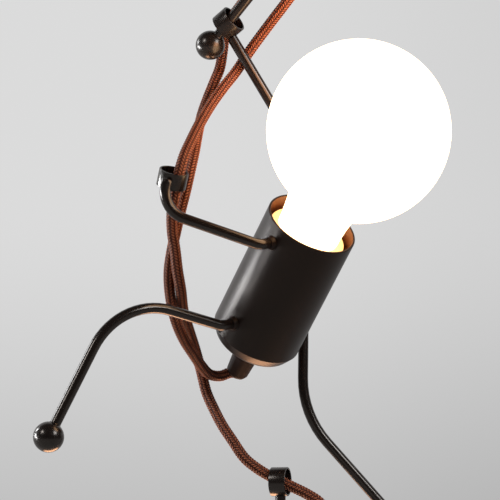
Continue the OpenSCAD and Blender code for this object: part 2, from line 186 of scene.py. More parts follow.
def joined(name, parts, sharp=40):
    # one mesh from several (verts, faces) lists
    verts, faces = [], []
    for v, f in parts:
        base = len(verts)
        verts += [tuple(p) for p in v]
        faces += [tuple(i + base for i in g) for g in f]
    return outward(addMesh(name, verts, faces, sharp))


def bentPath(points, radii, step=5):
    # straight runs with round bends, as points in mm
    pts = [Vector(p) for p in points]
    out = [pts[0]]
    for i in range(1, len(pts) - 1):
        u = (pts[i] - pts[i - 1]).normalized()
        w = (pts[i + 1] - pts[i]).normalized()
        turn = u.angle(w)
        inward = u.cross(w).normalized().cross(u)
        start = pts[i] - u * (radii[i - 1] * math.tan(turn / 2))
        centre = start + inward * radii[i - 1]
        n = max(4, int(math.degrees(turn) / step))
        for k in range(n + 1):
            t = turn * k / n
            out.append(centre - inward * (radii[i - 1] * math.cos(t))
                       + u * (radii[i - 1] * math.sin(t)))
    out.append(pts[-1])
    return out


def spreadPath(points, step):
    # the same line with points about step apart on its straights
    out = [points[0]]
    for a, b in zip(points[:-1], points[1:]):
        n = max(1, int((b - a).length / step))
        out += [a.lerp(b, k / n) for k in range(1, n + 1)]
    return out


def carriedFrames(points):
    # directions along a line, carried without twist
    p = np.array([tuple(q) for q in points])
    way = np.gradient(p, axis=0)
    way /= np.linalg.norm(way, axis=1)[:, None]
    side = np.zeros_like(way)
    awry = (0.3, 1, 0.1)  # along none of the lines
    first = np.cross(way[0], awry)
    side[0] = first / np.linalg.norm(first)
    for i in range(1, len(p)):
        s = side[i - 1] - way[i] * np.dot(side[i - 1], way[i])
        side[i] = s / np.linalg.norm(s)
    return p, way, side, np.cross(way, side)


def swept(points, radii, count=40):
    # round bar along a line, closed at both ends
    p, way, side, up = carriedFrames(points)
    a = np.linspace(0, 2 * np.pi, count, endpoint=False)
    ring = np.cos(a)[None, :, None] * side[:, None, :] + np.sin(a)[None, :, None] * up[:, None, :]
    verts = (p[:, None, :] + ring * np.asarray(radii, dtype=float)[:, None, None]).reshape(-1, 3)
    n = len(p)
    faces = [(i * count + k, i * count + (k + 1) % count, (i + 1) * count + (k + 1) % count,
              (i + 1) * count + k) for i in range(n - 1) for k in range(count)]
    faces.append(tuple(range(count - 1, -1, -1)))
    faces.append(tuple(range((n - 1) * count, n * count)))
    return [tuple(v) for v in verts], faces


# cords: braided sleeves along the routes, in mm
cordSetup = {"diameter": 5.6, "rows": 8, "stitch": 1.6, "slant": 0.9, "stagger": 0.25, "relief": 0.5,
             "around": 48, "step": 0.275, "pathStep": 8, "ridgeFloor": 0.25, "ridgePower": 0.7,
             "stitchFloor": 0.1, "stitchPower": 1.1, "inGrip": 1.0}
feedRoute = [(-14, 0, -14), (-14, 0, -30), (-14, 0, -44), (-14, 0, -46), (-14.5, 2, -62), (-18, 9, -79),
             (-25.3, 18.8, -95), (-34.4, 29.3, -111), (-45.3, 37.3, -125.4), (-48.6, 40.7, -129.6),
             (-48.4, 46.6, -135), (-49.2, 48.4, -142.3), (-50.6, 47.3, -150.4), (-53.6, 43.7, -158.4),
             (-57, 38.2, -167.5), (-60, 30.5, -177), (-62, 22, -187), (-63.7, 13, -198),
             (-65.7, 7, -208), (-68, 4.5, -218.5), (-70.8, 4.5, -229.5), (-73.2, 5, -240),
             (-75.5, 5.5, -250.5), (-77, 6.5, -261), (-76.8, 8, -270.7), (-75.3, 10.5, -281),
             (-72.9, 14.5, -290), (-69.4, 21.5, -298.4), (-64.8, 29.5, -306.2), (-60.6, 38, -313),
             (-57.2, 44.2, -317.3), (-54.4, 47.8, -318.8), (-50, 51, -319.2), (-45.4, 52.8, -317.7),
             tuple(onCup(0, 0, cordSetup["inGrip"] - cupSetup["length"] - cupSetup["gripLength"]))]
linkRoute = [(14, 0, -14), (14, 0, -30), (14, 0, -44), (14, 0, -46), (13, 2, -62), (8, 9, -80), (0, 18, -97),
             (-13.5, 28, -115), (-23.7, 38, -127.5), (-34.3, 42.5, -141.5), (-41.5, 40, -152.5),
             (-48.2, 33, -161.5), (-54.5, 24, -171), (-60, 12.5, -181.1), (-65.1, 0.5, -192.2),
             (-68.9, -8, -201.7), (-71.4, -10.4, -211.1), (-73.2, -9, -220.5), (-74.9, -5.5, -230),
             (-74.9, -3, -240), (-73.5, -1, -250), (-72.3, 1, -260.5), (-70.7, 6, -271),
             (-69.7, 17, -282.6), (-66.9, 30, -293.6), (-64, 43, -304.2), (-61, 51.5, -316),
             (-58, 51.5, -328.2), (-53.7, 46, -337.4), (-49, 40, -345.8), (-44, 35.5, -352.9),
             (-37, 31.8, -362.6), (-31, 31.2, -367.6), (-25.1, 30.8, -371.3), (-17.8, 30, -374.8),
             (-10.2, 29, -378.4), (-3.2, 28.4, -381.8), (3.5, 28, -386.2), (8.5, 28, -392.8),
             (10.6, 28, -400.5), (11, 28, -409)]


def smoothLine(route, step):
    # one smooth curve through the route, with points a fixed step apart
    perSpan = 40
    p = np.array(route, dtype=float)
    p = np.vstack([2 * p[0] - p[1], p, 2 * p[-1] - p[-2]])
    fine = []
    for i in range(1, len(p) - 2):
        a, b, c, d = p[i - 1], p[i], p[i + 1], p[i + 2]
        t0 = 0.0
        t1 = t0 + np.linalg.norm(b - a) ** 0.5
        t2 = t1 + np.linalg.norm(c - b) ** 0.5
        t3 = t2 + np.linalg.norm(d - c) ** 0.5
        t = np.linspace(t1, t2, perSpan, endpoint=False)[:, None]
        ab = (t1 - t) / (t1 - t0) * a + (t - t0) / (t1 - t0) * b
        bc = (t2 - t) / (t2 - t1) * b + (t - t1) / (t2 - t1) * c
        cd = (t3 - t) / (t3 - t2) * c + (t - t2) / (t3 - t2) * d
        abc = (t2 - t) / (t2 - t0) * ab + (t - t0) / (t2 - t0) * bc
        bcd = (t3 - t) / (t3 - t1) * bc + (t - t1) / (t3 - t1) * cd
        fine.append((t2 - t) / (t2 - t1) * abc + (t - t1) / (t2 - t1) * bcd)
    fine = np.vstack(fine + [p[-2][None]])
    run = np.concatenate([[0], np.cumsum(np.linalg.norm(np.diff(fine, axis=0), axis=1))])
    at = np.linspace(0, run[-1], max(2, int(run[-1] / step)) + 1)
    return np.column_stack([np.interp(at, run, fine[:, k]) for k in range(3)]), at


def braidedCord(name, route):
    c = cordSetup
    line, at = smoothLine(route, c["step"])
    p, way, side, up = carriedFrames(line)
    n, count = len(p), c["around"]
    a = np.linspace(0, 2 * np.pi, count, endpoint=False)
    turn, run = np.meshgrid(a, at)
    across = c["rows"] * turn / (2 * np.pi)
    row = np.round(across)
    lean = np.where(row % 2 == 0, 1.0, -1.0)
    along = run / c["stitch"] + lean * c["slant"] * (across - row) + c["stagger"] * lean
    stitch = np.round(along)
    ridge = np.cos(np.pi * (across - row)) ** c["ridgePower"]
    bump = np.cos(np.pi * (along - stitch)) ** c["stitchPower"]
    rowHigh = c["ridgeFloor"] + (1 - c["ridgeFloor"]) * ridge
    high = rowHigh * (c["stitchFloor"] + (1 - c["stitchFloor"]) * bump)
    r = c["diameter"] / 2 + c["relief"] * (high - 0.5)
    ring = np.cos(a)[None, :, None] * side[:, None, :] + np.sin(a)[None, :, None] * up[:, None, :]
    verts = (p[:, None, :] + ring * r[:, :, None]).reshape(-1, 3)
    k = np.arange(count)
    m = (k + 1) % count
    rows = np.arange(n - 1)[:, None] * count
    quads = np.stack([rows + k, rows + m, rows + count + m, rows + count + k], axis=2).reshape(-1, 4)
    faces = quads.tolist() + [list(range(count - 1, -1, -1)), list(range((n - 1) * count, n * count))]
    obj = addMesh(name, verts, faces, sharp=80)
    # the stitch's height, which sets the yarn's painted shade between the stitches and painted highlight on
    # their tops
    stitchShade = obj.data.attributes.new("stitchShade", "FLOAT_COLOR", "POINT")
    data = np.stack([high, high, high, np.ones_like(high)], axis=2)
    stitchShade.data.foreach_set("color", data.reshape(-1).astype(np.float32))
    path = [tuple(v * mm) for v in line[::c["pathStep"]]] + [tuple(line[-1] * mm)]
    return obj, path, at[-1] * mm


feedCord, feedPath, feedLength = braidedCord("feedCord", feedRoute)
linkCord, linkPath, linkLength = braidedCord("linkCord", linkRoute)
for cord, node in ((feedCord, "feed_cord"), (linkCord, "link_cord")):
    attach(cord, "lamp")
    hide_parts(node)
print("cords:", round(feedLength, 3), "m and", round(linkLength, 3), "m")

pieces = {}


def keep(obj, body, slot, finish, *nodes):
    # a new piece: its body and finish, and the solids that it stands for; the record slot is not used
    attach(obj, body)
    if nodes:
        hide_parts(*nodes)
    pieces[obj.name] = (obj, finish)
    return obj


# cup with a rolled lip; the wall ends in an edge, then a narrow slope and a round bottom
cup = {"r": 24.75, "length": cupSetup["length"], "wall": 1.2, "corner": 13.0, "slope": 28.0, "turnIn": 60.0,
       "hole": 5.0, "bend": 7.0, "edge": 0.12, "lipOut": 0.6, "lipIn": 0.5}


def cupEdge(first, second):
    # where the lines that touch the corner's circle at two slopes meet
    a, b = math.radians(first), math.radians(second)
    wide = math.sin(b - a)
    out = cup["corner"] * (math.sin(b) - math.sin(a)) / wide
    down = cup["corner"] * (math.cos(a) - math.cos(b)) / wide
    return cup["r"] - cup["corner"] + out, -cup["length"] + cup["corner"] - down


cupProfile = softProfile([
    (cup["hole"], -cup["length"]), (*cupEdge(cup["turnIn"], 90), cup["bend"]),
    (*cupEdge(cup["slope"], cup["turnIn"]), cup["bend"]), (*cupEdge(0, cup["slope"]), cup["edge"]),
    (cup["r"], 0, cup["lipOut"]), (cup["r"] - cup["wall"], 0, cup["lipIn"]),
    (cup["r"] - cup["wall"], -cup["length"] + cup["wall"], cup["corner"] - cup["wall"]),
    (cup["hole"], -cup["length"] + cup["wall"])], closed=True, steps=10)
cupShell = keep(turnedPiece("cupShell", cupProfile, cupFrame, closed=True, count=160), "lamp", "dark_paint",
                "cupPaint", "body_cup")

# limbs: where each leaves the cup, how far its stub runs out, and the radii of its bends
limbs = {"leftArm": {"turn": 233, "drop": 10.5, "out": 9, "bends": [6, 15]},
         "rightArm": {"turn": 64.5, "drop": 10.5, "out": 12, "bends": [6.5]},
         "leftLeg": {"turn": 235.5, "drop": 65, "out": 9, "bends": [6, 38]},
         "rightLeg": {"turn": 64.5, "drop": 65, "out": 12, "bends": [7, 52]}}
limbSetup = {"rod": 2.85, "ball": 8.0, "gap": 0.3, "inCollar": 1.6, "step": 6, "tip": 1.6, "tipSteps": 6,
             "tipLeast": 0.15, "hangerBend": 25}
collar = {"r": 4.0, "height": 2.2, "bore": 2.1, "sunk": 0.8, "lip": 0.25, "waist": 1.1, "waistGap": 0.55,
          "topGap": 0.3, "soft": 0.2, "hollow": 0.9}
ringSetup = {"r": 7.85, "wall": 1.0, "length": 9.0, "soft": 0.25, "ballGap": 2.4, "rodGap": 0.3, "weld": 0.8,
             "weldDrop": 0.6}
collarProfile = softProfile([
    (collar["bore"], -collar["sunk"]), (collar["r"], -collar["sunk"]),
    (collar["r"] - 0.1, collar["lip"], collar["soft"]),
    (limbSetup["rod"] + collar["waistGap"], collar["waist"], collar["hollow"]),
    (limbSetup["rod"] + collar["topGap"], collar["height"], collar["soft"]),
    (collar["bore"], collar["height"])], closed=True)
collarParts = []
for limb in limbs.values():
    way = (limbRoot(limb["turn"], limb["drop"], 10) - limbRoot(limb["turn"], limb["drop"], 0)).normalized()
    place = axisFrame(limbRoot(limb["turn"], limb["drop"], cup["r"]), way)
    collarParts.append(turned(collarProfile, place, closed=True, count=40))
keep(joined("limbCollars", collarParts), "lamp", "dark_paint", "cupPaint", "limb_collars")

hangerTop = Vector((0, 0, -3))
hangerBend = Vector((0, 0, -73))
hangerEnd = Vector((-55.6, 38, -138.5))
hangerUp = (hangerBend - hangerEnd).normalized()
hangerSide = (Vector((0, 1, 0)) - hangerUp * hangerUp.y).normalized()
rightRingAt = hangerEnd + hangerUp * (
    limbSetup["ball"] + ringSetup["ballGap"] + ringSetup["length"] / 2) + hangerSide * (
    ringSetup["r"] - ringSetup["wall"] - limbSetup["rod"] - ringSetup["rodGap"])
rightRingUp = Vector((0.72, -0.38, 0.58)).normalized()
leftRingAt = Vector((-74.6, -9, -212.6))
leftRingUp = Vector((0.21, -0.3, 0.93)).normalized()
leftWeld = Vector((-0.25, -0.96, -0.1)).normalized()
leftArmEnd = leftRingAt + leftWeld * (
    ringSetup["r"] + limbSetup["rod"] - ringSetup["weld"]) - leftRingUp * ringSetup["weldDrop"]
lowerRingAt = Vector((-17.8, 30, -375.3))
lowerRingUp = Vector((0.955, -0.28, 0.035)).normalized()
lowerWeld = (lowerRingUp * lowerRingUp.z - Vector((0, 0, 1))).normalized()


def limbPath(limb, gap, rest):
    # out of the collar, along the stub and through the rest of the limb's corners
    root = cup["r"] + collar["height"] - limbSetup["inCollar"] + gap
    start = [limbRoot(limb["turn"], limb["drop"], r) for r in (root, cup["r"] + limb["out"])]
    return bentPath(start + rest, limb["bends"])


def rodPiece(name, path, body, node, tip=0):
    # tip rounds the far end of a rod that stays in view
    line = spreadPath(path, limbSetup["step"])
    radii = [limbSetup["rod"]] * len(line)
    if tip:
        last, before = line[-1], line[-2]
        way = (last - before).normalized()
        for k in range(1, limbSetup["tipSteps"] + 1):
            t = math.pi / 2 * k / limbSetup["tipSteps"]
            line.append(last + way * (tip * math.sin(t)))
            radii.append(max(limbSetup["tipLeast"], limbSetup["rod"] * math.cos(t)))
    verts, faces = swept(line, radii)
    return keep(addMesh(name, verts, faces), body, "dark_paint", "rodPaint", node)


leftElbow = Vector((-81.2, -17, -229.2))
leftFootAt = Vector((-137.1, -36, -345.7))
leftKnee = Vector((-101.4, -22, -273.6))
rightFootAt = Vector((58.6, 56, -412.7))
rightKnee = Vector((-5, 54, -340.8))
dropTop = lowerRingAt + lowerWeld * ringSetup["r"]
dropBallAt = Vector((dropTop.x, dropTop.y, -405))

rodPiece("leftArm", limbPath(limbs["leftArm"], 0, [leftElbow, leftArmEnd]), "lamp", "left_arm",
         tip=limbSetup["tip"])
# the right arm starts in its ring's bore and is drawn back to just inside the ring's wall
rightArm = {"stop": (-1.6, 0, -1.6), "step": 0.1, "inEnd": 0.3, "inWall": 0.4}
rightArmStop = rightRingAt + Vector(rightArm["stop"])
limb = limbs["rightArm"]
rightArmRoot = limbRoot(limb["turn"], limb["drop"], cup["r"] + limb["out"])
rightArmWay = (rightArmRoot - rightArmStop).normalized()
while True:
    off = rightArmStop - rightRingAt
    high = off.dot(rightRingUp)
    across = (off - rightRingUp * high).length
    pastEnd = abs(high) > ringSetup["length"] / 2 - rightArm["inEnd"]
    if pastEnd or across > ringSetup["r"] - rightArm["inWall"]:
        break
    rightArmStop += rightArmWay * rightArm["step"]
rodPiece("rightArm", limbPath(limbs["rightArm"], 0, [rightArmStop]), "lamp", "right_arm")
rodPiece("leftLeg", limbPath(limbs["leftLeg"], limbSetup["gap"], [leftKnee, leftFootAt]), "left_leg",
         "left_leg")
rodPiece("rightLeg", limbPath(limbs["rightLeg"], limbSetup["gap"], [rightKnee, rightFootAt]), "right_leg",
         "right_leg")
rodPiece("hangerRod", bentPath([hangerTop, hangerBend, hangerEnd], [limbSetup["hangerBend"]]), "lamp",
         "hanger_rod")
rodPiece("dropRod", [dropTop + Vector((0, 0, 0.4)), dropBallAt], "drop", "drop_rod")


def ballPiece(name, at, up, body, node):
    # round ball that runs up into a small collar on its rod
    b, rod, steps = limbSetup["ball"], limbSetup["rod"], 40
    start = math.asin((rod + 0.35) / b)
    profile = [(0, -b)] + [(b * math.sin(math.pi * k / steps), -b * math.cos(math.pi * k / steps))
                           for k in range(1, steps) if math.pi - math.pi * k / steps > start]
    top = b * math.cos(start)
    profile += [(rod + 0.32, top), (rod + 0.14, top + 0.32), (rod + 0.02, top + 0.42), (rod - 0.2, top + 0.3),
                (0, top + 0.1)]
    ball = turnedPiece(name, profile, axisFrame(at, up), count=64, sharp=60)
    return keep(ball, body, "dark_paint", "ballPaint", node)


ballPiece("hangerBall", hangerEnd, hangerUp, "lamp", "hanger_ball")
ballPiece("leftFoot", leftFootAt, leftKnee - leftFootAt, "left_leg", "left_foot")
ballPiece("rightFoot", rightFootAt, rightKnee - rightFootAt, "right_leg", "right_foot")
ballPiece("dropBall", dropBallAt, Vector((0, 0, 1)), "drop", "drop_ball")


def ringPiece(name, at, up, body, node):
    g = ringSetup
    h, inside = g["length"] / 2, g["r"] - g["wall"]
    profile = softProfile([(g["r"], -h, g["soft"]), (g["r"], h, g["soft"]), (inside, h, g["soft"]),
                           (inside, -h, g["soft"])], closed=True)
    ring = turnedPiece(name, profile, axisFrame(at, up), closed=True, count=72)
    return keep(ring, body, "dark_paint", "ballPaint", node)


ringPiece("leftRing", leftRingAt, leftRingUp, "lamp", "left_hand_ring")
ringPiece("rightRing", rightRingAt, rightRingUp, "lamp", "right_hand_ring")
ringPiece("lowerRing", lowerRingAt, lowerRingUp, "drop", "lower_ring")
print("cup, limbs and rings made")

# bulb: opal globe running into its neck, then a threaded cap
bulb = {"globe": 47.5, "rise": 60.5, "neck": 19.3, "foot": -6.0, "neckIn": 2.3, "flare": 1.6, "neckSteps": 9,
        "globeSteps": 60}
bulbCap = {"r": 13.0, "length": 24.6, "rows": 64, "thread": 3.6, "threadDepth": 0.75, "threadTop": -9,
           "threadFoot": -29.6, "threadR": 12.5}
neckTop = bulb["rise"] - math.sqrt(bulb["globe"] ** 2 - bulb["neck"] ** 2)
neckFoot = bulb["neck"] - bulb["neckIn"]
globeProfile = [(0, bulb["foot"] + 0.6), (bulbCap["r"] - 0.2, bulb["foot"] + 0.02),
                (bulb["neck"] - 2.6, bulb["foot"] + 0.02), (neckFoot, bulb["foot"] + 0.5)]
for k in range(1, bulb["neckSteps"]):
    t = k / bulb["neckSteps"]
    globeProfile.append((neckFoot + bulb["neckIn"] * t ** bulb["flare"],
                         bulb["foot"] + 0.5 + (neckTop - bulb["foot"] - 1.2) * t))
sweep = math.pi - math.asin(bulb["neck"] / bulb["globe"])
for k in range(bulb["globeSteps"] + 1):
    t = sweep - sweep * k / bulb["globeSteps"]
    r = bulb["globe"] * math.sin(t) if k < bulb["globeSteps"] else 0
    globeProfile.append((r, bulb["rise"] + bulb["globe"] * math.cos(t)))
keep(turnedPiece("opalBulb", globeProfile, cupFrame, count=112, sharp=50), "bulb", "opal_glass", "opalGlass",
     "bulb_globe", "bulb_neck")


def screwed(rise, depth):
    # pushes the wall in along a rounded screw thread
    def shape(r, z, a):
        w = (z / rise - a / (2 * math.pi)) % 1
        return r - depth * (0.5 - 0.5 * math.cos(2 * math.pi * w))
    return shape


capThread = screwed(bulbCap["thread"], bulbCap["threadDepth"])


def capShape(r, z, a):
    # the thread runs out at both ends of the cap
    plain = r < bulbCap["threadR"] or z > bulbCap["threadTop"] or z < bulbCap["threadFoot"]
    return r if plain else capThread(r, z, a)


capWall = [(bulbCap["r"], bulb["foot"] - bulbCap["length"] * k / bulbCap["rows"])
           for k in range(2, bulbCap["rows"] - 1)]
capProfile = [(0, bulb["foot"] - 0.02), (bulbCap["r"] - 0.05, bulb["foot"] - 0.02)] + capWall + [
    (bulbCap["r"] - 0.6, bulb["foot"] - 24.8), (0, bulb["foot"] - 24.9)]
keep(turnedPiece("bulbCap", capProfile, cupFrame, count=96, sharp=50, shape=capShape), "bulb", "cap_metal",
     "capMetal", "bulb_cap")
insulatorProfile = softProfile([(0, -33), (6, -33, 0.4), (12.4, -31.0, 0.3), (12.2, -30.9), (0, -30.9)])
keep(turnedPiece("bulbInsulator", insulatorProfile, cupFrame, count=64), "bulb", "cap_glass", "capGlass",
     "bulb_insulator")
tipProfile = softProfile([(0, -34, 0), (2.4, -34, 0.6), (4.4, -33.2, 0.4), (4.4, -33.0), (0, -33.0)])
keep(turnedPiece("bulbTip", tipProfile, cupFrame, count=48), "bulb", "cap_metal", "capMetal", "bulb_tip")

# lampholder, down from the mouth
holder = {"rimTop": -6.5, "rimR": 21.15, "rimT": 2.2, "skirt": 17.5, "foot": -40.0, "bore": 13.77}
rimFoot = holder["rimTop"] - holder["rimT"]
skirtProfile = softProfile([
    (holder["bore"], holder["foot"]), (holder["skirt"], holder["foot"], 0.4), (holder["skirt"], rimFoot, 0.5),
    (holder["rimR"], rimFoot, 0.6), (holder["rimR"], holder["rimTop"], 0.7),
    (holder["bore"] + 1.6, holder["rimTop"], 0.6), (holder["bore"], holder["rimTop"] - 1.4, 0.5)],
    closed=True)
keep(turnedPiece("lampholderSkirt", skirtProfile, cupFrame, closed=True, count=96), "lamp", "holder_white",
     "holderWarmGlow", "lampholder_skirt")

# threaded shell that takes the bulb's cap
shell = {"r": 13.75, "wall": 0.7, "foot": -36.9, "length": 27.6, "top": -9.3, "rows": 60, "threadDepth": 0.55,
         "outerFrom": 13.5}


def shellShape(r, z, a):
    # only the inner wall has the thread
    if r > shell["outerFrom"]:
        return r
    w = z / bulbCap["thread"] - a / (2 * math.pi)
    return r + shell["threadDepth"] * (0.5 - 0.5 * math.cos(2 * math.pi * w))


shellProfile = [(shell["r"] - shell["wall"], shell["foot"] + shell["length"] * k / shell["rows"])
                for k in range(shell["rows"] + 1)]
shellProfile += [(shell["r"], shell["top"]), (shell["r"], shell["foot"])]
keep(turnedPiece("screwShell", shellProfile, cupFrame, closed=True, count=96, sharp=50, shape=shellShape),
     "lamp", "brass", "bareBrass", "screw_shell")

# cord grip under the cup: tapered with soft flats
grip = {"top": -cupSetup["length"], "length": cupSetup["gripLength"], "wide": 7.4, "narrow": 6.1, "flats": 8,
        "head": 2.4, "headSeat": 2.6, "core": 3.5, "flatDepth": 1.045}
gripFoot = grip["top"] - grip["length"]
gripProfile = softProfile([
    (0, gripFoot), (grip["narrow"] - 1.0, gripFoot, 0.4), (grip["narrow"], gripFoot + 1.5, 0.4),
    (grip["wide"] - 0.12, grip["top"] - 2.7, 0.2), (grip["wide"], grip["top"] - grip["head"], 0.2),
    (grip["wide"], grip["top"] - 0.05, 0.15), (5.1, grip["top"] - 0.05), (0, grip["top"])])


def flatSides(r, z, a):
    # soft flats below the round head
    if z > grip["top"] - grip["headSeat"] or r < grip["core"]:
        return r
    half = math.pi / grip["flats"]
    w = (a % (2 * half)) - half
    return min(r, r * math.cos(half) * grip["flatDepth"] / math.cos(w))


keep(turnedPiece("cordGrip", gripProfile, cupFrame, count=96, shape=flatSides, sharp=30), "lamp",
     "black_plastic", "blackPlastic", "cord_grip")
print("bulb and lampholder made")

# connector at the link cord's end: stepped strain relief, then a body with grip rings
connector = {"gland": 8.0, "length": 24.0, "r": 7.95, "neck": 4.0, "glandFoot": 7.0, "bore": 4.0,
             "boreDepth": 9.1, "steps": 4, "stepSoft": 0.14, "rings": 7, "ringStart": 4.0, "ringPitch": 1.7,
             "ringDepth": 0.45, "ringSoft": 0.15}
connectorFrame = Matrix.Translation(Vector(linkRoute[-1]))
widening = connector["glandFoot"] - connector["neck"]
reliefProfile = [(0, -0.02), (connector["neck"] - 0.3, -0.02)]
for k in range(connector["steps"]):
    high, low = (connector["gland"] * (k + t) / connector["steps"] for t in (0.08, 0.86))
    reliefProfile += [(connector["neck"] - 0.35 + widening * high / connector["gland"], -high),
                      (connector["neck"] - 0.05 + widening * low / connector["gland"], -low)]
reliefProfile += [(connector["glandFoot"] - 0.1, -connector["gland"] + 0.02), (0, -connector["gland"] + 0.02)]
reliefProfile = softProfile([(*p, connector["stepSoft"]) for p in reliefProfile])
connectorRelief = keep(turnedPiece("connectorRelief", reliefProfile, connectorFrame, count=56), "lamp",
                       "black_plastic", "blackPlastic", "connector_gland")
bodyTop = -connector["gland"]
bodyFoot = bodyTop - connector["length"]
grooveR = connector["r"] - connector["ringDepth"]
bodyProfile = [(0, bodyTop - 0.02), (connector["r"] - 0.5, bodyTop - 0.02, 0.3),
               (connector["r"], bodyTop - 0.7, 0.4)]
for k in range(connector["rings"]):
    ringTop = bodyTop - connector["ringStart"] - k * connector["ringPitch"]
    bodyProfile += [(r, ringTop - down, connector["ringSoft"]) for r, down in (
        (connector["r"], 0), (grooveR, 0.3), (grooveR, 0.75), (connector["r"], 1.05))]
bodyProfile += [
    (connector["r"], bodyFoot + 1.5, 0.6), (connector["r"] - 1.4, bodyFoot + 0.02, 0.4),
    (connector["bore"] + 0.4, bodyFoot + 0.02, 0.2), (connector["bore"], bodyFoot + 0.5, 0.2),
    (connector["bore"], bodyFoot + connector["boreDepth"], 0.2), (0, bodyFoot + connector["boreDepth"])]
connectorBody = keep(turnedPiece("connectorBody", softProfile(bodyProfile), connectorFrame, count=64), "lamp",
                     "black_plastic", "blackPlastic", "connector_body")
print("connector made")


def newFinish(name):
    # an empty finish: material, its nodes and its shader
    mat = bpy.data.materials.new(name)
    mat.use_nodes = True
    tree = mat.node_tree
    return mat, tree, tree.nodes["Principled BSDF"]


def addNode(tree, kind, **values):
    # a value goes to the socket of that name, or else to the node's own setting
    node = tree.nodes.new(kind)
    for key, value in values.items():
        if key in node.inputs:
            node.inputs[key].default_value = value
        else:
            setattr(node, key, value)
    return node


def buildSurfaceGrain():
    # fine orange peel, broad tone drift and a roughness that follows the drift
    g = bpy.data.node_groups.new("surfaceGrain", "ShaderNodeTree")
    for name, value in (("Fine Scale", 900.0), ("Broad Scale", 22.0), ("Low", 0.3), ("High", 0.4)):
        s = g.interface.new_socket(name, in_out="INPUT", socket_type="NodeSocketFloat")
        s.default_value = value
    for name in ("Height", "Tone", "Roughness"):
        g.interface.new_socket(name, in_out="OUTPUT", socket_type="NodeSocketFloat")
    into = g.nodes.new("NodeGroupInput")
    out = g.nodes.new("NodeGroupOutput")
    where = g.nodes.new("ShaderNodeTexCoord")
    fine = addNode(g, "ShaderNodeTexNoise", Detail=2.0, Roughness=0.5)
    broad = addNode(g, "ShaderNodeTexNoise", Detail=4.0, Roughness=0.6)
    spread = addNode(g, "ShaderNodeMapRange", **{"From Min": 0.3, "From Max": 0.7})
    g.links.new(where.outputs["Object"], fine.inputs["Vector"])
    g.links.new(where.outputs["Object"], broad.inputs["Vector"])
    g.links.new(into.outputs["Fine Scale"], fine.inputs["Scale"])
    g.links.new(into.outputs["Broad Scale"], broad.inputs["Scale"])
    g.links.new(broad.outputs["Fac"], spread.inputs["Value"])
    g.links.new(into.outputs["Low"], spread.inputs["To Min"])
    g.links.new(into.outputs["High"], spread.inputs["To Max"])
    g.links.new(fine.outputs["Fac"], out.inputs["Height"])
    g.links.new(broad.outputs["Fac"], out.inputs["Tone"])
    g.links.new(spread.outputs["Result"], out.inputs["Roughness"])
    return g


surfaceGrain = buildSurfaceGrain()


def grainyFinish(name, dark, light, rough, fine, bump, depth=0.0002, broad=22.0, **sockets):
    mat, tree, shader = newFinish(name)
    grain = tree.nodes.new("ShaderNodeGroup")
    grain.node_tree = surfaceGrain
    grain.inputs["Fine Scale"].default_value = fine
    grain.inputs["Broad Scale"].default_value = broad
    grain.inputs["Low"].default_value, grain.inputs["High"].default_value = rough
    mix = tree.nodes.new("ShaderNodeMix")
    mix.data_type = "RGBA"
    mix.inputs["A"].default_value = (*dark, 1)
    mix.inputs["B"].default_value = (*light, 1)
    tree.links.new(grain.outputs["Tone"], mix.inputs["Factor"])
    tree.links.new(mix.outputs["Result"], shader.inputs["Base Color"])
    tree.links.new(grain.outputs["Roughness"], shader.inputs["Roughness"])
    dent = addNode(tree, "ShaderNodeBump", Strength=bump, Distance=depth)
    tree.links.new(grain.outputs["Height"], dent.inputs["Height"])
    tree.links.new(dent.outputs["Normal"], shader.inputs["Normal"])
    for key, value in sockets.items():
        shader.inputs[key].default_value = value
    return mat


